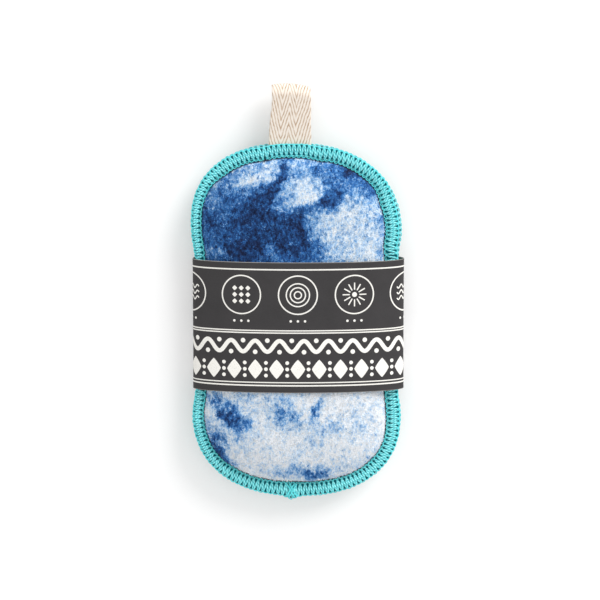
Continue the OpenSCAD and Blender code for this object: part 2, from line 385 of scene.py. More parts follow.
class Shader:
    """A node material that is written from its nodes' names and inputs."""

    def __init__(self, name, rough, gloss, sheen=0.0, sheen_rough=0.5):
        self.material = bpy.data.materials.new(name)
        self.material.use_nodes = True
        self.tree = self.material.node_tree
        self.surface = self.tree.nodes["Principled BSDF"]
        self.set(self.surface, {"Roughness": rough, "Specular IOR Level": gloss, "Sheen Weight": sheen,
                                "Sheen Roughness": sheen_rough})
        # Place on the pad in millimetres, from the pad's own middle
        place_mm = self.scaled(self.node("TexCoord", output=3), 1 / MM)
        self.place = self.vector("SUBTRACT", place_mm, tuple(PAD_AT))

    def set(self, node, inputs):
        for key, value in inputs.items():
            if isinstance(value, bpy.types.NodeSocket):
                self.tree.links.new(value, node.inputs[key])
            else:
                node.inputs[key].default_value = srgb(value) if isinstance(value, str) else value

    def node(self, kind, inputs=None, output=0, **settings):
        node = self.tree.nodes.new("ShaderNode" + kind)
        for key, value in settings.items():
            setattr(node, key, value)
        self.set(node, inputs or {})
        return node.outputs[output]

    def attribute(self, name):
        return self.node("Attribute", output=2, attribute_name=name)

    def math(self, operation, a, b=0.0, clamp=False):
        return self.node("Math", {0: a, 1: b}, operation=operation, use_clamp=clamp)

    def add(self, a, b, clamp=False):
        return self.math("ADD", a, b, clamp)

    def times(self, a, b, clamp=False):
        return self.math("MULTIPLY", a, b, clamp)

    def wave(self, turns):
        return self.math("SINE", self.times(turns, TAU))

    def vector(self, operation, a, b=(0, 0, 0), output=0):
        return self.node("VectorMath", {0: a, 1: b}, output, operation=operation)

    def scaled(self, a, factor):
        return self.node("VectorMath", {0: a, "Scale": factor}, operation="SCALE")

    def noise(self, scale, detail=2.0, rough=0.5, at=None, output=0):
        inputs = {"Vector": self.place if at is None else at, "Scale": scale, "Detail": detail,
                  "Roughness": rough}
        return self.node("TexNoise", inputs, output)

    def swing(self, amount, scale, detail, rough, at=None):
        """Noise of either sign about zero."""
        return self.times(self.math("SUBTRACT", self.noise(scale, detail, rough, at), 0.5), amount)

    def drift(self, amount, scale, detail, rough):
        """A shift of the place in a random way."""
        own = self.noise(scale, detail, rough, output=1)
        return self.scaled(self.vector("SUBTRACT", own, (0.5, 0.5, 0.5)), amount)

    def spread(self, value, low, high, to_low=0.0, to_high=1.0, kind="LINEAR"):
        return self.node("MapRange", {"Value": value, "From Min": low, "From Max": high,
                                      "To Min": to_low, "To Max": to_high}, interpolation_type=kind)

    def mix(self, factor, a, b, blend="MIX"):
        return self.node("Mix", {0: factor, 6: a, 7: b}, 2, data_type="RGBA", blend_type=blend)

    def ramp(self, value, stops):
        colour = self.node("ValToRGB", {0: value})
        marks = colour.node.color_ramp.elements
        while len(marks) < len(stops):
            marks.new(0.5)
        for mark, (place, _) in zip(marks, stops):
            mark.position = place
        for mark, (_, text) in zip(marks, stops):
            mark.color = srgb(text)
        return colour

    def strand(self):
        """Millimetres along a thread and turns round it."""
        uv = self.node("UVMap", uv_map="along")
        return self.node("SeparateXYZ", {0: uv}, 0), self.node("SeparateXYZ", {0: uv}, 1)

    def bump(self, height, distance_mm):
        normal = self.node("Bump", {"Height": height, "Strength": 1.0, "Distance": distance_mm * MM})
        self.set(self.surface, {"Normal": normal})

    def colour(self, value):
        self.set(self.surface, {"Base Color": value})
        return self.material


# Dye on the plush. Each patch: middle x and y, half width and length, turn in degrees, how much dye it adds
DYE_PATCHES = [
    (-23, 42, 23, 27, 0, 0.34), (-18, 47, 7, 14, -12, 0.36), (-11, 60, 4, 14, -32, 0.40),
    (-17, 34, 16, 8, 10, 0.16), (7, 52, 4, 17, -62, 0.42), (16, 57, 6, 6, 0, 0.26),
    (-4, 69, 3, 6, -20, 0.46), (24, 65, 17, 9, -20, 0.26), (26, 68, 6, 3, -35, 0.34),
    (2, 58, 12, 8, 25, -0.40), (-18, 67, 12, 4, 18, -0.40), (25, 43, 20, 19, 0, -0.27),
    (30, 30, 14, 9, 0, -0.12), (41, 44, 5, 15, 0, 0.30), (2, 36, 15, 9, -20, 0.34),
    (-4, 45, 10, 9, 0, 0.24), (-31, -43, 4, 15, 28, 0.50), (-29, -45, 8, 8, 0, 0.26),
    (-23, -48, 6, 6, 20, 0.26), (-38, -56, 8, 14, 22, 0.58), (-34, -63, 7, 9, 40, 0.34),
    (-4, -43, 11, 7, 0, 0.34), (-7, -35, 8, 9, 0, 0.20), (11, -38, 3, 8, -22, 0.42),
    (18, -49, 15, 5, 8, 0.16), (3, -69, 21, 5, 0, 0.38), (8, -71, 9, 4, 0, 0.28),
    (33, -66, 8, 5, 30, 0.10), (-41, -34, 6, 8, 0, 0.22), (35, -38, 12, 10, 0, 0.06),
    (-43, 44, 8, 24, 0, 0.22), (-3, 58, 6, 5, 20, 0.26), (8, -49, 30, 12, 8, 0.05),
    (-26, -36, 14, 8, 0, 0.16),
]
DYE_BLUES = [(0.00, "f8fbff"), (0.14, "dfeefc"), (0.28, "b8d6f3"), (0.42, "76ade1"),
             (0.56, "3a7cc4"), (0.70, "2d5c9a"), (0.84, "243f70"), (1.00, "1a2342")]


def dye_colour(m, offset=None):
    """Colour of the dyed plush at a place: patches with feathered edges, drawn through a ramp of blues."""
    at = m.vector("ADD", m.place, m.drift(13.0, 0.07, 3.0, 0.6))
    at = m.vector("ADD", at, m.drift(9.0, 0.34, 4.0, 0.7))
    flat = m.vector("MULTIPLY", at, (1, 1, 0))
    # More dye towards the loop's end and less towards the other: partly the dye's own spread, partly painted
    # light that lightens the lower end, which the key light leaves in shade.
    base = m.spread(m.node("SeparateXYZ", {0: m.place}, 1), -26, 26, 0.03, 0.40, "SMOOTHSTEP")
    dye = None
    for x, y, half_w, half_l, turn, amount in DYE_PATCHES:
        own = m.node("Mapping", {"Vector": flat, "Location": (x, y, 0), "Scale": (half_w, half_l, 1),
                                 "Rotation": (0, 0, math.radians(turn))}, vector_type="TEXTURE")
        patch = m.spread(m.vector("LENGTH", own, output=1), 0.0, 1.35, amount, 0.0, "SMOOTHSTEP")
        dye = patch if dye is None else m.add(dye, patch)
    streaked = m.vector("MULTIPLY", m.place, (1.0, 0.6, 1.0))
    broken = m.spread(m.noise(0.30, 6.0, 0.75, streaked), 0.25, 0.75, 0.55, 1.45)
    dye = m.add(base, m.times(dye, broken))
    dye = m.math("MINIMUM", m.math("MAXIMUM", dye, 0.04), 0.82)
    dye = m.add(dye, m.swing(1.10, 0.17, 6.0, 0.78, streaked))
    dye = m.add(dye, m.swing(1.05, 0.95, 3.0, 0.7, streaked))
    if offset is not None:
        dye = m.add(dye, offset)
    return m.ramp(m.times(dye, 1.0, clamp=True), DYE_BLUES)


def plush_material(pile):
    m = Shader("plush_pile" if pile else "plush_cloth", 0.9, 0.12, 0.15)
    if pile:
        # The dyed colour times each tuft's painted shade and light.
        painted_shade_and_tone = m.attribute("painted_shade_and_tone")
        shade = m.node("CombineColor", {0: painted_shade_and_tone, 1: painted_shade_and_tone, 2: painted_shade_and_tone})
        return m.colour(m.mix(1.0, dye_colour(m, m.attribute("clump")), shade, "MULTIPLY"))
    m.bump(m.noise(1.6, 3.0, 0.6), 0.5)
    # The ground cloth is a little darker than the tufts: painted shade under the pile.
    cloth = m.mix(1.0, dye_colour(m), (0.94, 0.95, 0.96, 1), "MULTIPLY")
    # Along the stitching the cloth turns dark navy by its rim share: partly its dark ground cloth there,
    # partly painted shade where the plush dips under the stitching.
    return m.colour(m.mix(m.attribute("rim"), cloth, "0f1a30"))


def thread_material(name, light, groove_shade_colour, ply_mm):
    """Loose spun thread: slanting plies and fine fibres, darker between the plies as painted shade in their
    grooves.
    """
    m = Shader(name, 0.62, 0.3, 0.15, 0.4)
    along, around = m.strand()
    turn = m.add(m.times(along, 1 / ply_mm), m.times(around, 2.0))
    ply = m.math("ABSOLUTE", m.wave(m.times(turn, 0.5)))
    fibre = m.wave(m.add(m.times(along, 2.2), m.times(around, 9.0)))
    depth = m.add(m.times(ply, 0.5), m.times(m.noise(3.2, 3.0, 0.6), 0.6))
    shade = m.add(depth, m.times(fibre, 0.05), clamp=True)
    patch = m.spread(m.noise(0.16), 0.3, 0.7, 0.0, 0.15)
    factor = m.spread(shade, 0.25, 0.80)
    m.bump(m.add(depth, m.times(fibre, 0.12)), 0.14)
    # The deeper colour is painted shade in the grooves between the plies.
    return m.colour(m.mix(m.math("SUBTRACT", factor, patch, clamp=True), groove_shade_colour, light))


def seam_shade_material():
    # Dark teal that stands for the shade in the gaps between the threads rather than the plush's own colours:
    # painted shade.
    m = Shader("seam_cloth_painted_shade", 0.9, 0.1, 0.1)
    m.bump(m.noise(2.4, 3.0, 0.6), 0.3)
    return m.colour(m.mix(m.noise(1.1), "04626e", "0a8a95"))


def tape_material():
    """Cotton twill: cream yarns, going beige towards the grooves between the ribs as painted shade, read from
    the tape's own rib height.
    """
    m = Shader("twill_tape", 0.85, 0.15, 0.2)
    height = m.add(m.attribute("rib"), m.swing(0.5, 6.0, 2.0, 0.6))
    painted_shade_and_tone = m.add(height, m.swing(0.35, 1.7, 3.0, 0.7), clamp=True)
    m.bump(height, 0.12)
    return m.colour(m.ramp(painted_shade_and_tone, [(0.0, "a58265"), (0.30, "c7ac91"), (0.62, "e7dacb"), (1.0, "f4ebe1")]))


def foam_material():
    """Open-cell foam: a pale body with round pores of two sizes."""
    m = Shader("open_foam", 0.9, 0.15)
    big = m.node("TexVoronoi", {"Vector": m.place, "Scale": 0.85}, feature="SMOOTH_F1")
    small = m.node("TexVoronoi", {"Vector": m.place, "Scale": 2.3}, feature="SMOOTH_F1")
    pore = m.times(m.spread(big, 0.1, 0.5), m.spread(small, 0.05, 0.45))
    m.bump(pore, 0.5)
    # The pores darken towards their middles: painted shade in the hollows.
    return m.colour(m.mix(pore, "b99f63", "f0e2b8"))


def net_material():
    m = Shader("mesh_yarn", 0.42, 0.45)
    along, around = m.strand()
    twist = m.wave(m.add(m.times(along, 1.4), m.times(around, 3.0)))
    m.bump(m.add(m.times(twist, 0.5), m.noise(4.0)), 0.06)
    # Darker in the grooves of the twist: painted shade.
    return m.colour(m.mix(m.spread(twist, -1, 1), "a9b6be", "d3dce1"))


def card_material(name, base, light):
    """Uncoated card: fine paper fibres, a faint tooth and a slightly uneven colour."""
    m = Shader(name, 0.72, 0.35)
    fibre = m.noise(2.6, 4.0, 0.7, m.vector("MULTIPLY", m.place, (0.35, 1.6, 1.0)))
    tooth = m.noise(6.5, 3.0, 0.7)
    m.bump(m.times(m.add(fibre, tooth), 0.6), 0.035)
    m.set(m.surface, {"Roughness": m.spread(tooth, 0.3, 0.7, 0.62, 0.82)})
    factor = m.add(m.times(fibre, 0.55), m.times(m.noise(0.09, 3.0, 0.6), 0.45), clamp=True)
    return m.colour(m.mix(m.spread(factor, 0.3, 0.7), base, light))


def ink_material():
    m = Shader("pale_ink", 0.6, 0.3)
    m.bump(m.noise(6.5, 3.0, 0.7), 0.03)
    worn = m.spread(m.noise(2.2, 4.0, 0.75), 0.30, 0.50)
    return m.colour(m.mix(worn, "d8d5cd", "f6f4ee"))


# The stuffed body: puffed by a cloth simulation with its rim held, then parted into plush and foam
PILE_MM = 1.0
BODY_INSET = BAND_W - 1.0
NET_MM = 1.1
BODY_EDGE = 0.8
VOXEL_MM = 2.1
SIM_STEPS = 20
SWELL_CAP_MM = 1.4


def crown(s, top):
    """Height of a domed face at a share s of the way out from its spine to its rim."""
    return BODY_EDGE + (top - BODY_EDGE) * np.sqrt(np.clip(1 - s * s, 0, 1))


def flattened(s):
    """Depth of the lower face, which the bench flattens."""
    drop = BACK_DROP - NET_MM
    return np.minimum(drop, crown(s, drop + BACK_BULGE))


def body_rings(around=120):
    """Rings of the body, from the middle of its upper face over the rim to the middle of the lower one."""
    a = all_round(around)
    shares = np.sin(np.radians(np.linspace(2, 90, 26)))
    upper = inset(a, (BODY_INSET + 0.75) * band_share(a) + roll(a))
    lower = inset(a, BODY_INSET)
    rings = []
    for p, own, heights in ((upper, shares, crown(shares, FRONT_RISE - PILE_MM)),
                            (lower, shares[::-1], -flattened(shares[::-1]))):
        q = spine(p)
        rings += [np.column_stack([q + s * (p - q), np.full(around, z)]) for s, z in zip(own, heights)]
    return np.array(rings)


def puff_up(obj):
    """Swells the body by a cloth simulation, with its rim and what the sleeve covers held."""
    rest = points_of(obj.data)
    local = rest / MM - PAD_AT
    rim = (edge_depth(local[:, :2]) < BODY_INSET + 1.2) & (np.abs(local[:, 2]) < 3.0)
    under_sleeve = np.abs(local[:, 1] - SLEEVE_ALONG) < SLEEVE_L / 2 + 1
    held = obj.vertex_groups.new(name="held")
    held.add(np.where(rim | under_sleeve)[0].tolist(), 1.0, "REPLACE")
    cloth = obj.modifiers.new("cloth", "CLOTH")
    for name, value in {
        "quality": 6, "mass": 0.25, "tension_stiffness": 12, "compression_stiffness": 12,
        "shear_stiffness": 8, "bending_stiffness": 0.4, "use_pressure": True,
        "uniform_pressure_force": 4.0, "vertex_group_mass": "held",
    }.items():
        setattr(cloth.settings, name, value)
    cloth.settings.effector_weights.gravity = 0.0
    cloth.collision_settings.use_collision = False
    for step in range(1, SIM_STEPS + 1):
        bpy.context.scene.frame_set(step)
    mesh = settle(obj)
    bpy.context.scene.frame_set(1)
    shift = points_of(mesh) - rest
    far = np.linalg.norm(shift, axis=1, keepdims=True)
    moved = rest + shift * np.minimum(1, SWELL_CAP_MM * MM / np.maximum(far, 1e-9))
    moved[:, 2] = np.maximum(moved[:, 2], (SEAM_Z - BACK_DROP + 1.0) * MM)
    set_points(mesh, moved)
    return mesh


def simulated_body():
    rings = body_rings()
    rows, around, _ = rings.shape
    faces = grid_faces(rows, around, wrap_columns=True)[:, ::-1].tolist()
    faces += [list(range(around))[::-1], list(range((rows - 1) * around, rows * around))]
    mesh = bpy.data.meshes.new("body")
    mesh.from_pydata(to_world(rings.reshape(-1, 3)).tolist(), [], faces)
    obj = new_object("body", mesh)
    remesh = obj.modifiers.new("even", "REMESH")
    remesh.mode = "VOXEL"
    remesh.voxel_size = VOXEL_MM * MM
    mesh = settle(obj)
    mesh = puff_up(obj)
    fine = obj.modifiers.new("fine", "SUBSURF")
    fine.levels = fine.render_levels = 1
    pucker(settle(obj))
    return obj


def pucker(mesh):
    """Small gathers where the stitching holds the cloth, fading towards the middle."""
    co = points_of(mesh)
    local = co / MM - PAD_AT
    depth = edge_depth(local[:, :2]) - BODY_INSET
    waves = Field(8.0, 3)(local) * 0.7 + Field(4.0, 4)(local) * 0.4
    fade = np.exp(-np.clip(depth, 0, None) / 5.0) * smooth(depth / 1.5)
    slow = Field(26.0, 5)(local) * smooth(depth / 12.0) * 0.22
    lift = (waves * 0.34 * fade + slow * (local[:, 2] > 2)) * MM
    lift *= np.where(local[:, 2] < -5, 0.35, 1.0)
    set_points(mesh, co + normals_of(mesh) * lift[:, None])


def above_seam(body):
    """Points and faces of the body's upper part."""
    mesh = body.data
    co = points_of(mesh)
    corners = np.empty(len(mesh.loops), np.int32)
    mesh.loops.foreach_get("vertex_index", corners)
    quads = corners.reshape(-1, 4)
    quads = quads[co[quads].mean(1)[:, 2] / MM - SEAM_Z > 0.4]
    used = np.unique(quads)
    place = np.full(len(co), -1)
    place[used] = np.arange(len(used))
    return co[used], place[quads]


def plush_face(body):
    points, quads = above_seam(body)
    obj = build_mesh("plush_face", points, quads)
    depth = edge_depth(points[:, :2] / MM - PAD_AT[:2])
    # Share of dark navy along the stitching: partly the dark ground cloth, partly painted shade where the
    # plush dips under the stitches.
    add_attribute(obj.data, "rim", 1 - rise(depth, BAND_W + 0.55, 0.5))
    thick = obj.modifiers.new("thick", "SOLIDIFY")
    thick.thickness = 1.2 * MM
    thick.offset = -1
    settle(obj)
    obj.data.materials.append(plush_material(False))
    return obj, points, quads


def foam_pad(body):
    """The whole body again, drawn in under its two cloths."""
    mesh = body.data.copy()
    co = points_of(mesh)
    sink = 0.15 + 1.6 * rise(co[:, 2] / MM - SEAM_Z, -2, 4)
    set_points(mesh, co - normals_of(mesh) * (sink * MM)[:, None])
    mesh.materials.append(foam_material())
    return new_object("foam_pad", mesh)


TUFT_COUNT = 62000
CLUMP_MM = 2.1


def scrambled(at, weights, factor):
    """Repeatable values from 0 to 1 without a pattern, one for each place."""
    value = np.sin(at @ np.array(weights)) * factor
    return value - np.floor(value)


def nearest_clump(root):
    """Middle of the clump that each tuft belongs to, and the squared distance to it."""
    cell = np.floor(root / CLUMP_MM)
    own, best = np.zeros_like(root), np.full(len(root), 1e9)
    for step in ((dx, dy) for dx in (-1, 0, 1) for dy in (-1, 0, 1)):
        at = cell + step
        jitter = [scrambled(at, (127.1, 311.7), 43758.5453), scrambled(at, (269.5, 183.3), 28001.8384)]
        centre = (at + np.stack(jitter, -1)) * CLUMP_MM
        gap = ((centre - root) ** 2).sum(-1)
        closer = gap < best
        own[closer], best[closer] = centre[closer], gap[closer]
    return own, best


def plush_pile(points, quads):
    """Short tufts in clumps: each is a slim three-sided cone that leans to its clump's middle."""
    tri = np.concatenate([quads[:, [0, 1, 2]], quads[:, [0, 2, 3]]])
    a, b, c = (points[tri[:, k]] / MM for k in range(3))
    cross = np.cross(b - a, c - a)
    middle = (a + b + c)[:, :2] / 3 - PAD_AT[:2]
    area = np.linalg.norm(cross, axis=1) * (edge_depth(middle) > BAND_W + 0.85)
    pick = rng.choice(len(tri), TUFT_COUNT, p=area / area.sum())
    u, v = rng.random(TUFT_COUNT), rng.random(TUFT_COUNT)
    fold = u + v > 1
    u[fold], v[fold] = 1 - u[fold], 1 - v[fold]
    root = a[pick] + u[:, None] * (b - a)[pick] + v[:, None] * (c - a)[pick]
    normal = unit(cross[pick])
    own, best = nearest_clump(root[:, :2])
    lean_xy = (own - root[:, :2]) / CLUMP_MM * 0.9 + rng.normal(0, 0.30, (TUFT_COUNT, 2)) + (0.04, -0.16)
    way = unit(normal + np.column_stack([lean_xy, np.zeros(TUFT_COUNT)]))
    clump_high = 1 - 0.35 * np.sqrt(best) / CLUMP_MM
    length = rng.uniform(0.65, 1.10, TUFT_COUNT) * clump_high
    side = unit(np.cross(way, rng.normal(size=(TUFT_COUNT, 3))))
    other = np.cross(way, side)
    radius = rng.uniform(0.15, 0.24, TUFT_COUNT)[:, None]
    corners = [root - way * 0.15 + (side * math.cos(angle) + other * math.sin(angle)) * radius
               for angle in (0, TAU / 3, 4 * math.pi / 3)]
    verts = np.stack(corners + [root + way * length[:, None]], 1).reshape(-1, 3)
    base = np.arange(TUFT_COUNT)[:, None, None] * 4
    faces = (base + np.array([[[0, 1, 3], [1, 2, 3], [2, 0, 3]]])).reshape(-1, 3)
    obj = build_mesh("plush_pile", verts * MM, faces, plush_material(True))
    # Brightness of each tuft: a small random spread, times painted shade and light: darker at the clumps'
    # edges and at each tuft's root, lighter at its tip, and above 1 on average, which paints extra light on
    # the whites.
    painted_shade_and_tone = rng.uniform(0.96, 1.04, TUFT_COUNT) * (0.79 + 0.42 * clump_high)
    add_attribute(obj.data, "painted_shade_and_tone", (painted_shade_and_tone[:, None] * np.array([0.95, 0.95, 0.95, 1.06])).ravel())
    own_dye = scrambled(own, (12.9898, 78.233), 43758.5453) - 0.5
    add_attribute(obj.data, "clump", np.repeat(0.32 * own_dye + rng.normal(0, 0.08, TUFT_COUNT), 4))
    up = unit(normal * 0.40 + way * 0.25 + (0, 0, 0.50))
    obj.data.normals_split_custom_set_from_vertices(np.repeat(up, 4, axis=0).tolist())
    return obj


# The scrubbing mesh: wavy yarns that touch side by side and leave six-sided gaps
WALE_MM = 2.5
COURSE_MM = 5.2
YARN_R = 0.3


def unrolled_to_back(flat):
    """Place on the scrubbing face of points of the flat cloth, and whether they lie inside it."""
    q = np.column_stack([np.zeros(len(flat)), np.clip(flat[:, 1], -STRAIGHT_HALF, STRAIGHT_HALF)])
    far = np.maximum(np.linalg.norm(flat - q, axis=1), 1e-6)
    way = (flat - q) / far[:, None]
    row = np.arange(len(flat))
    # How far the rim is from the spine in each point's own direction
    rim = inset(all_round(600), BODY_INSET + 0.6)
    gap = rim[None] - q[:, None]
    aside = np.abs(gap[..., 0] * way[:, None, 1] - gap[..., 1] * way[:, None, 0])
    ahead = (gap * way[:, None]).sum(-1)
    aside[ahead <= 0] = 1e9
    reach = ahead[row, np.argmin(aside, axis=1)]
    # The share of that reach at which the curved face has used up the flat distance
    s = np.linspace(0, 1, 90) ** 0.6
    depth = flattened(s)
    length = np.sqrt((np.diff(s)[None] * reach[:, None]) ** 2 + np.diff(depth)[None] ** 2)
    total = np.concatenate([np.zeros((len(flat), 1)), np.cumsum(length, axis=1)], 1)
    k = np.clip((total < far[:, None]).sum(1), 1, len(s) - 1)
    part = (far - total[row, k - 1]) / np.maximum(total[row, k] - total[row, k - 1], 1e-9)
    share, drop = (each[k - 1] + np.clip(part, 0, 1) * (each[k] - each[k - 1]) for each in (s, depth))
    xy = q + way * (share * reach)[:, None]
    xy[:, 0] += lean(xy[:, 1]) * share
    return np.column_stack([xy, -drop]), far < total[:, -1]


def scrubber_net(body):
    quads = [tuple(p.vertices) for p in body.data.polygons]
    surface = BVHTree.FromPolygons([Vector(c) for c in points_of(body.data)], quads)
    yarns = []
    wales = int(56 / WALE_MM)
    wave = Field(30.0, 8)
    for j in range(-wales, wales + 1):
        y = np.arange(-96, 96, 0.5)
        phase = y / COURSE_MM + (0.5 if j % 2 else 0.0)
        zigzag = np.clip(np.sin(TAU * phase) * 1.7, -1, 1) * (WALE_MM / 2 - YARN_R * 0.75)
        flat = np.column_stack([j * WALE_MM + zigzag, y])
        flat[:, 0] += wave(np.column_stack([flat, np.zeros(len(flat))])) * 0.35
        place, inside = unrolled_to_back(flat)
        if inside.sum() < 8:
            continue
        touch = np.abs(np.sin(TAU * phase[inside])) ** 0.5
        lifted = []
        for point, near_touch in zip(to_world(place[inside]), touch):
            hit, normal, _, _ = surface.find_nearest(Vector(point))
            lifted.append(np.array(hit + normal * (YARN_R + 0.02 + 0.10 * near_touch) * MM) / MM)
        yarns.append(tubes(np.array(lifted)[None], YARN_R * (0.92 + 0.16 * touch)[None]))
    points, faces, uv = join_parts(yarns)
    points[:, 2] = np.maximum(points[:, 2], SEAM_Z - BACK_DROP)
    return build_mesh("scrubber_net", points * MM, faces, net_material(), uv)


# The overlocked edge
LEG_R = 0.46
STITCHES = 2 * round(GIRTH / STITCH_PITCH / 2)
ARC_STEPS = 14


def tail(a):
    share = np.clip(1 - np.abs(a - GIRTH / 2 - TAIL_SIDE) / (TAIL_W / 2), 0, 1)
    return TAIL_REACH * share ** 1.5


def tuck(a):
    """How far the sleeve presses the threads in on its tighter side."""
    y = edge(a)[..., 1]
    inside = smooth((SLEEVE_L / 2 + 2.5 - np.abs(y - SLEEVE_ALONG)) / 3)
    return 0.55 * inside * (np.mod(a, GIRTH) > GIRTH / 2)


def on_band(a, d, z):
    """Place of a point of the band: distance a along the edge, d in from it and z above the seam."""
    a, d, z = np.broadcast_arrays(a, d, z)
    near_edge = smooth((BAND_W * 0.7 - d) / (BAND_W * 0.7))
    upper = np.clip((z + LIP_TOP) / (2 * LIP_TOP), 0, 1)
    d = d * (1 + (band_share(a) - 1) * upper) + roll(a) * upper + (tuck(a) - tail(a)) * near_edge
    return np.concatenate([inset(a, d), z[..., None]], -1)


def stitch_loops():
    """One closed loop of thread for each stitch: two legs on each face, close together at the outer edge
    and apart round a hole at the inner one, and a wrap round the outer edge."""
    zt = LIP_TOP + LEG_R * 0.85
    # A leg on the upper face: pitches aside, distance in from the edge, height, share of LEG_R
    leg = np.array([
        (0.13, 0.45, 0.45, 0.72), (0.13, 0.50, 1.15, 0.72), (0.13, 1.0, zt - 0.08, 0.76),
        (0.24, 2.2, zt + 0.06, 1.12), (0.28, 3.4, zt + 0.06, 1.12), (0.36, 4.4, zt - 0.05, 0.84),
        (0.42, 5.15, zt - 0.30, 0.6),
    ])
    tip = np.array([[0.0, 5.55, zt - 0.60, 0.5]])
    upper = np.concatenate([leg * (-1, 1, 1, 1), tip, leg[::-1]])
    path = rounded_path(np.concatenate([upper, upper[::-1] * (1, 1, -1, 1)]), 60)
    radius = path[:, 3] * LEG_R
    pitch = GIRTH / STITCHES
    a0 = pitch * (np.arange(STITCHES) + 0.5)
    thick, shift, skew, longer = rng.normal(0, 1, (STITCHES, 4)).T[..., None]
    d = path[None, :, 1]
    apart = 1 + 0.85 * turned(a0)[:, None] * smooth((2.2 - d) / 1.2)
    a = a0[:, None] + path[None, :, 0] * pitch * apart * (1 + 0.05 * thick) + 0.05 * shift
    a = a + (d - 3) / 6 * 0.22 * skew
    place = on_band(a, d + 0.12 * longer * rise(d, 2, 4), path[:, 2])
    radii = radius * (1 + 0.05 * thick)
    open_here = np.minimum(a0, GIRTH - a0) < TAPE_W / 2 + 0.4
    whole = tubes(place[~open_here], radii[~open_here], sides=7, closed=True)
    # Where the tape leaves the seam, each face keeps its own legs, and its ends meet over the tape's edge
    halves = []
    for face in (1, -1):
        own = rounded_path(np.array([(x, max(d, 0.42), face * max(z, 1.15)) for x, d, z, _ in upper]), 34)
        a = a0[open_here][:, None] + own[None, :, 0] * pitch
        halves.append(on_band(a, own[:, 1], own[:, 2]))
    radius = np.interp(own[:, 1], [0, 1, 2, 4, 6], [0.72, 0.76, 1.1, 1.0, 0.6]) * LEG_R
    return [whole, tubes(np.concatenate(halves), radius, sides=7, closed=True)]


def scallops(face, d_tip, d_cusp, z_tip, z_cusp, radius, phase):
    """A thread that runs along the edge in one arc for each stitch."""
    a = all_round(STITCHES * ARC_STEPS)
    turn = math.pi * (a / GIRTH * STITCHES + phase)
    arc = np.abs(np.cos(turn)) ** 0.85
    wobble = 0.06 * np.sin(a * 0.9 + phase) + 0.05 * np.sin(a * 2.3 + face)
    d = d_cusp + (d_tip - d_cusp) * arc + wobble
    z = z_cusp + (z_tip - z_cusp) * arc
    along = a + 0.22 * np.sin(2 * turn) * (GIRTH / STITCHES) / 2
    return tubes(on_band(along, d, face * z)[None], radius, closed=True)


def chain_threads():
    """The chains along the inner and the outer edge of both faces."""
    top = LIP_TOP + LEG_R
    parts = []
    for face in (1, -1):
        parts.append(scallops(face, 6.1, 4.8, top + 0.10, top + 0.35, 0.23, 0.5))
        parts.append(scallops(face, 0.22, 1.30, LIP_TOP + 0.05, top + 0.45, 0.26, 0.0))
    return parts


def crossed_threads():
    """The few turns that cross the band where the stitching ends over its own start."""
    middle = GIRTH / 2 + TAIL_SIDE
    top = LIP_TOP + 2 * LEG_R + 0.1
    share = np.linspace(0, 1, 26)
    ends_down = 0.9 * np.clip((share - 0.8) / 0.2, 0, 1) ** 2 + 0.5 * np.clip((0.12 - share) / 0.12, 0, 1)
    parts = []
    for start, end, high in ((-2.6, 1.6, 0.25), (-1.4, 3.0, 0.35), (2.8, -1.8, 0.05), (1.4, -2.9, 0.15)):
        place = on_band(middle + start + (end - start) * share, 5.6 - 5.3 * share, top + high - ends_down)
        parts.append(tubes(place[None], 0.34 * np.interp(share, [0, 0.1, 0.9, 1], [0.3, 1, 1, 0.4])))
    return parts


def seam_lip():
    """The pressed cloth edge under the threads: two rounded strips, with room between for the tape."""
    around = 720

    def rings(a, section, face=1):
        return np.concatenate([on_band(a, d, face * z) for d, z in section])

    section = [(BAND_W + 1.2, LIP_TOP - 0.5), (BAND_W - 0.4, LIP_TOP - 0.25), (3.0, LIP_TOP),
               (1.3, LIP_TOP - 0.05), (0.42, LIP_UNDER + 0.3), (0.42, LIP_UNDER + 0.02),
               (1.0, LIP_UNDER), (BAND_W + 1.2, LIP_UNDER)]
    strip = grid_faces(len(section), around, True, True)
    parts = [(rings(all_round(around), section[::face], face), strip, NO_UV) for face in (1, -1)]
    # The core closes the edge between the two strips, from one side of the tape round to the other
    aside = TAPE_W / 2 + 1.2
    high = LIP_UNDER + 0.1
    section = [(0.48, high), (0.48, -high), (1.25, -high), (1.25, high)]
    core = rings(np.linspace(aside, GIRTH - aside, around), section)
    ends = np.array([[0, 1, 2, 3], [3, 2, 1, 0]]) * around + np.array([[0], [around - 1]])
    parts.append((core, np.concatenate([grid_faces(4, around, True), ends]), NO_UV))
    points, faces, _ = join_parts(parts)
    return build_mesh("seam_lips", to_world(points), faces[:, ::-1], seam_shade_material())


def threads_of(name, parts, light, groove_shade_colour, ply_mm):
    points, faces, uv = join_parts(parts)
    return build_mesh(name + "s", to_world(points), faces, thread_material(name, light, groove_shade_colour, ply_mm), uv)


# The hanging loop
def softened(run, size, ends):
    """A run of points, each averaged with its neighbours; past its ends it wraps or goes on like the edge."""
    kernel = np.exp(-np.linspace(-2, 2, size) ** 2)
    padded = np.pad(run, ((size // 2, size // 2), (0, 0)), mode=ends)
    return np.column_stack([np.convolve(padded[:, k], kernel / kernel.sum(), mode="valid") for k in (0, 1)])


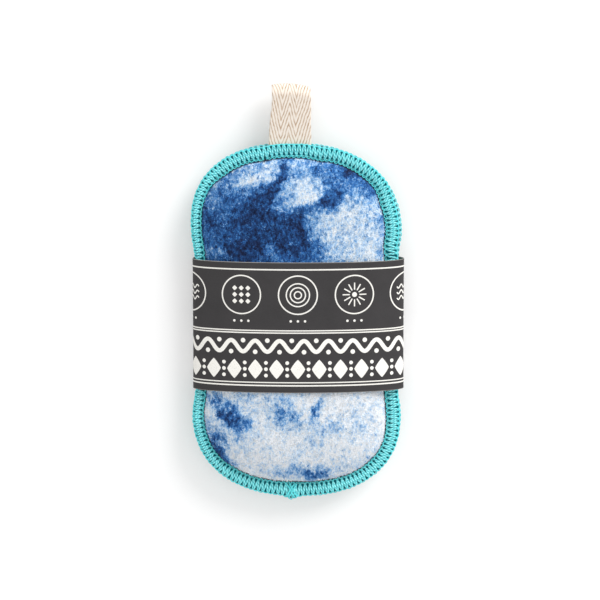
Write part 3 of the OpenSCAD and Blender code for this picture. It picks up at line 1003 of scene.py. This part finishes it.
def tape_path(step=0.25):
    """Middle line of the folded tape in the y-z plane, from one end round the fold to the other."""
    fold_y = PAD_L / 2 + LOOP_REACH - FOLD_R
    meet_y = PAD_L / 2 + 1
    start_y = PAD_L / 2 - TAPE_TUCK
    mid_r = FOLD_R - TAPE_T / 2
    half = TAPE_T / 2
    span = math.hypot(fold_y - meet_y, TAPE_T)
    lean_angle = math.pi - math.atan2(TAPE_T, fold_y - meet_y) - math.acos(FOLD_R / span)
    fold = [(fold_y + mid_r * math.cos(angle), mid_r * math.sin(angle))
            for angle in np.linspace(lean_angle, -lean_angle, 60)]
    run = np.array([(start_y, half), (meet_y - 1, half), *fold, (meet_y - 1, -half), (start_y, -half)])
    travel = travel_of(run)
    s = np.arange(0, travel[-1], step)
    return s, softened(on_run(run, travel, s), 13, "edge"), travel[-1]


# The herringbone: where its ribs turn back across the tape, how steep they run and how far apart
VALLEYS = (5.2, 12.0)
RIDGE = 8.8
RIB_SLOPE = 3.4
RIB_PITCH = 1.36


def rib_height(s, w):
    """Height of the herringbone ribs, from 0 to 1, at s along and w across the tape."""
    zig = np.where(w < RIDGE, np.abs(w - VALLEYS[0]), np.abs(w - VALLEYS[1]) + 2 * RIDGE - sum(VALLEYS))
    spot = np.column_stack([s.ravel(), w.ravel(), np.zeros(s.size)])

    def field(wave_mm, seed):
        return Field(wave_mm, seed)(spot).reshape(s.shape)

    phase = (zig - s / RIB_SLOPE) / RIB_PITCH + field(6.0, 21) * 0.05 + field(1.6, 22) * 0.03
    groove = (0.5 - 0.5 * np.cos(TAU * phase)) ** 2.6 * (0.95 + 0.12 * field(3.0, 23))
    yarn = 0.5 + 0.5 * np.cos(TAU * s / 0.62 + math.pi * np.floor(phase + 0.5))
    return np.clip(0.88 - 0.80 * groove + 0.12 * yarn, 0, 1)


def twill_loop():
    s, path, length = tape_path()
    tangent = run_way(path)
    out = np.column_stack([-tangent[:, 1], tangent[:, 0]])
    ss, ww = np.meshgrid(s, np.linspace(0, TAPE_W, 77), indexing="ij")
    rib = rib_height(np.where(ss > length / 2, ss + 2.1, ss), ww)
    thin = 0.5 + 0.5 * smooth(np.minimum(ww, TAPE_W - ww) / 0.5)
    raised = (TAPE_T / 2 - 0.08 + 0.13 * rib) * thin
    sway = 0.18 * np.sin(ss / length * math.pi * 3) + 0.12 * np.sin(ss * 0.31)
    curl = 0.22 * ((ww - TAPE_W / 2) / (TAPE_W / 2)) ** 2 * np.sin(ss / length * math.pi)
    layers = []
    for face in (1, -1):
        off = face * raised - curl
        y, z = (path[:, None, k] + out[:, None, k] * off for k in (0, 1))
        reach = rise(y, PAD_L / 2, LOOP_REACH - 2)
        x = (ww - TAPE_W / 2) * (1 - 0.09 * reach) + TOP_LEAN - 0.8 + 0.9 * reach + sway
        y = y - reach * (0.035 * (ww - TAPE_W * 0.4) ** 2 * 0.25 + 0.02 * ww)
        layers.append(np.stack([x, y, z], -1).reshape(-1, 3))
    points = to_world(np.concatenate(layers))
    obj = build_mesh("twill_loop", points, sheet_faces(*ss.shape), tape_material())
    add_attribute(obj.data, "rib", np.tile(rib.ravel(), 2))
    return obj, length


# The paper sleeve
INK_MM = 0.03
BENCH_GAP = INK_MM + 0.01
PRINT_REACH = 74.0


def sleeve_section():
    """Outline of the card across the sponge: an ellipse above the seam, flattened by the bench below it."""
    low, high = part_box("paper_sleeve")
    half = (high.x - low.x) / 2 / MM
    upper, lower = FRONT_RISE + SLIP_GAP + CARD_T, SEAM_Z + BACK_BULGE
    t = np.radians(np.linspace(0, 360, 1440, endpoint=False))
    drop = np.maximum(BENCH_GAP, SEAM_Z + lower * np.sin(t))
    around = np.column_stack([half * np.cos(t), np.where(np.sin(t) >= 0, SEAM_Z + upper * np.sin(t), drop)])
    around = np.vstack([around, around[:1]])
    travel = travel_of(around)
    even = np.linspace(0, travel[-1], 420, endpoint=False)
    soft = softened(on_run(around, travel, even), 9, "wrap")
    # Under the sponge the card's one end ramps up over the other and is glued to it
    ramp = np.clip((soft[:, 0] + LAP_W / 2 + LAP_RAMP) / LAP_RAMP, 0, 1) * (soft[:, 0] < -LAP_W / 2)
    soft[:, 1] += CARD_T * ramp * (soft[:, 1] < 1)
    return soft


SECTION = sleeve_section()
SECTION_NORMAL = run_way(SECTION, closed=True)[:, ::-1] * (1, -1)


def sleeve_relief(index, v):
    """Slight unevenness of the card, in millimetres outwards: its cut edges lift a little."""
    lift = 0.10 * (np.abs(v) / (SLEEVE_L / 2)) ** 4
    ripple = 0.05 * np.sin(index * 0.043 + v * 0.05) * np.cos(v * 0.11 + index * 0.02)
    above = smooth((SECTION[index, 1] - 3) / 6)
    return (lift + ripple) * above


def sleeve_card():
    edge_v = SLEEVE_L / 2
    v = np.concatenate([[-edge_v], np.linspace(-edge_v + 0.2, edge_v - 0.2, 38), [edge_v]])
    rows, columns = len(v), len(SECTION)
    vv, ii = np.meshgrid(v, np.arange(columns), indexing="ij")
    layers = []
    for shrink in (0.0, CARD_T):
        off = sleeve_relief(ii, vv) - shrink
        x, z = (SECTION[ii, k] + SECTION_NORMAL[ii, k] * off for k in (0, 1))
        if shrink:
            z = z + CARD_T * ((np.abs(x) < LAP_W / 2) & (z < 1))
        layers.append(np.stack([x, vv, z], -1).reshape(-1, 3))
    points = np.concatenate(layers) + (SLEEVE_AT.x, SLEEVE_AT.y, 0)
    faces = sheet_faces(rows, columns, wrap=True)
    obj = build_mesh("sleeve_card", points * MM, faces, card_material("grey_card", "312f30", "3c3a3b"))
    obj.data.materials.append(card_material("card_inside", "8b8885", "a19e9a"))
    # Only the outside is printed grey, and not the rows of faces at its two cut edges
    which = np.ones(len(faces), np.int32)
    which[columns:(rows - 2) * columns] = 0
    obj.data.polygons.foreach_set("material_index", which)
    return obj


def section_by_length():
    """Distance along the section from its top middle to each of its points, and the whole way round."""
    travel = travel_of(np.vstack([SECTION, SECTION[:1]]))
    top = np.argmin(np.abs(SECTION[:, 0]) + np.where(SECTION[:, 1] > SEAM_Z, 0, 1e3))
    return travel[top] - travel[:-1], travel[-1]


FROM_TOP, SLEEVE_GIRTH = section_by_length()


def on_sleeve(uv):
    """Place on the outside of the sleeve of points u to the right of the top middle and v along."""
    order = np.argsort(FROM_TOP)
    u = np.mod(uv[:, 0] - FROM_TOP.min(), SLEEVE_GIRTH) + FROM_TOP.min()
    index = np.interp(u, FROM_TOP[order], order.astype(float))
    low = np.floor(index).astype(int) % len(SECTION)
    high = (low + 1) % len(SECTION)
    part = (index - np.floor(index))[:, None]
    xz, normal = (rows[low] * (1 - part) + rows[high] * part for rows in (SECTION, SECTION_NORMAL))
    xz = xz + normal * (sleeve_relief(low, uv[:, 1]) + INK_MM)[:, None]
    return np.column_stack([xz[:, 0] + SLEEVE_AT.x, uv[:, 1] + SLEEVE_AT.y, xz[:, 1]])


def circle(count):
    t = np.linspace(0, TAU, count, endpoint=False)
    return np.column_stack([np.cos(t), np.sin(t)])


class Print:
    """Flat shapes of ink in the sleeve's own u and v, gathered into one mesh."""

    def __init__(self):
        self.parts = []

    def stroke(self, path, width, closed=False):
        tangent = run_way(path, closed)
        side = np.column_stack([-tangent[:, 1], tangent[:, 0]]) * width
        rows = np.stack([path + side * k for k in (-0.5, 0, 0.5)], 1)
        self.parts.append((rows.reshape(-1, 2), grid_faces(len(path), 3, wrap_rows=closed), NO_UV))

    def line(self, a, b, width, step=0.7):
        a, b = np.array(a, float), np.array(b, float)
        count = max(3, int(np.linalg.norm(b - a) / step))
        self.stroke(a + (b - a) * np.linspace(0, 1, count)[:, None], width)

    def ring(self, centre, radius, width):
        self.stroke(circle(72) * radius + centre, width, closed=True)

    def blob(self, centre, outline):
        """A filled shape given by its outline round the centre."""
        rings = outline[None] * np.linspace(0.02, 1, 5)[:, None, None] + centre
        quads = grid_faces(len(rings), len(outline), wrap_columns=True)
        self.parts.append((rings.reshape(-1, 2), quads, NO_UV))

    def disc(self, centre, radius):
        self.blob(centre, circle(40) * radius)

    def lozenge(self, centre, half_w, half_l):
        way = circle(40)
        reach = (np.abs(way) ** 1.15).sum(1, keepdims=True) ** (-1 / 1.15)
        self.blob(centre, way * reach * (half_w, half_l))


def sleeve_print():
    """Pale rules, a row of round medallions and two rows of plain shapes."""
    ink = Print()
    for v, width in ((26.5, 0.62), (-1.25, 0.55), (-2.3, 0.55), (-25.0, 0.5), (-26.4, 0.62)):
        ink.line((-PRINT_REACH, v), (PRINT_REACH, v), width)
    radius, spacing = 8.7, 25.5
    for k in range(-2, 3):
        middle = np.array([k * spacing, 15.0])
        ink.ring(middle, radius, 0.6)
        draw_motif(ink, middle, k + 2)
        for dot in (-3.2, 0, 3.2):
            ink.disc(middle + (dot, -radius - 3.2), 0.55)
    upper_row(ink, -8.4, PRINT_REACH - 6)
    lower_row(ink, -18.9, PRINT_REACH - 6)
    points, quads, _ = join_parts(ink.parts)
    return build_mesh("sleeve_print", on_sleeve(points) * MM, quads[:, ::-1], ink_material())


def draw_motif(ink, middle, kind):
    """What a medallion shows: waves, lozenges, rings or rays."""
    if kind in (0, 4):
        x = np.linspace(-5.2, 5.2, 40)
        for row in (-2.6, 0, 2.6):
            ink.stroke(np.column_stack([x, row + 0.8 * np.sin(x * 1.8)]) + middle, 0.6)
    elif kind == 1:
        for row in (-3, 0, 3):
            for column in (-3, 0, 3):
                ink.lozenge(middle + (column, row), 1.1, 1.1)
    elif kind == 2:
        for radius in (1.6, 3.4, 5.2):
            ink.ring(middle, radius, 0.55)
    else:
        for turn in range(12):
            way = np.array([math.cos(turn * math.pi / 6), math.sin(turn * math.pi / 6)])
            ink.line(middle + way * 2.2, middle + way * 5.4, 0.55, step=0.4)
        ink.disc(middle, 1.1)


def upper_row(ink, v, reach):
    """Bold wave between dots."""
    wave_mm = 11.0

    def swing(x):
        return np.sin(x * TAU / wave_mm)

    x = np.linspace(-reach, reach, 420)
    ink.stroke(np.column_stack([x, v + 2.5 * swing(x)]), 1.9)
    for middle in (np.arange(-13, 13) + 0.5) * wave_mm / 2:
        if abs(middle) < reach:
            ink.disc((middle, v - 2.6 * swing(middle)), 1.05)


def lower_row(ink, v, reach):
    """Lozenges with stacks of three dots between them."""
    spacing = 4.8
    for k in range(int(-reach // spacing) + 1, int(reach // spacing) + 1):
        if k % 2:
            for row in (-2.9, 0, 2.9):
                ink.disc((spacing * k, v + row), 0.85)
        else:
            ink.lozenge((spacing * k, v), 3.3, 4.4)


# Assemble the pieces
body = simulated_body()
plush, plush_points, plush_quads = plush_face(body)
foam = foam_pad(body)
pile = plush_pile(plush_points, plush_quads)
net = scrubber_net(body)
bpy.data.objects.remove(body)
lips = seam_lip()
threads = threads_of("overlock_thread", stitch_loops(), "a0feff", "14b0bd", 1.3)
chains = threads_of("chain_thread", chain_threads() + crossed_threads(), "7cfcff", "12bec9", 0.9)
loop, loop_length = twill_loop()
card = sleeve_card()
ink = sleeve_print()

for piece, nodes, slot in (
    (plush, ["front_panel"], "plush"),
    (pile, [], "plush"),
    (foam, ["foam_core"], "foam"),
    (net, ["scrubber_mesh"], "mesh"),
    (lips, [], "thread"),
    (threads, ["edge_stitching"], "thread"),
    (chains, [], "thread"),
    (loop, ["hanging_loop"], "tape"),
    (card, ["paper_sleeve"], "card"),
    (ink, [], "card"),
):
    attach(piece, "root")
    if nodes:
        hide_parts(*nodes)


# Floor, light and camera
def white_floor():
    half = 1.5
    corners = [(-half, -half, 0), (half, -half, 0), (half, half, 0), (-half, half, 0)]
    m = Shader("white_floor", 1.0, 0.0)
    m.colour((0.8, 0.8, 0.8, 1))
    path = m.tree.nodes.new("ShaderNodeLightPath").outputs
    glow = m.node("Emission", {"Color": (1, 1, 1, 1), "Strength": 0.26})
    shaded = m.node("BsdfDiffuse", {"Color": (0.75, 0.75, 0.75, 1)})
    seen = m.add(path["Is Camera Ray"], path["Is Glossy Ray"], clamp=True)
    both = m.node("AddShader", {0: shaded, 1: glow})
    mixed = m.node("MixShader", {0: seen, 1: m.surface.outputs[0], 2: both})
    m.set(m.tree.nodes["Material Output"], {0: mixed})
    floor = build_mesh("floor", corners, [(0, 1, 2, 3)], m.material)


def light():
    world = bpy.data.worlds.new("world")
    bpy.context.scene.world = world
    world.use_nodes = True
    sky = world.node_tree.nodes["Background"].inputs
    sky[0].default_value = (1, 1, 1, 1)
    sky[1].default_value = 0.84
    sun = bpy.data.lights.new("key", "SUN")
    sun.energy = 2.2
    sun.angle = math.radians(34)
    key = new_object("key", sun)
    key.rotation_euler = Vector((1.3, 1.65, 1.0)).to_track_quat("Z", "Y").to_euler()


def camera():
    """Above the sponge and tipped towards the loop, as the photograph is taken."""
    photo_side, photo_mm = 600, 0.452
    centre_px = (296.75, 321.25)
    distance, tip = 1400.0, math.radians(10)
    sensor = 36
    off_px = np.array([photo_side / 2 - centre_px[0], centre_px[1] - photo_side / 2, 0])
    aim = PAD_AT + off_px * photo_mm
    data = bpy.data.cameras.new("camera")
    data.sensor_width = sensor
    data.lens = sensor * distance / (photo_side * photo_mm)
    data.clip_start, data.clip_end = 0.01, 10
    cam = new_object("camera", data)
    cam.location = Vector((aim + distance * np.array([0, math.sin(tip), math.cos(tip)])) * MM)
    cam.rotation_euler = (-tip, 0, 0)
    bpy.context.scene.camera = cam


white_floor()
light()
camera()
bpy.context.scene.view_settings.view_transform = "Standard"
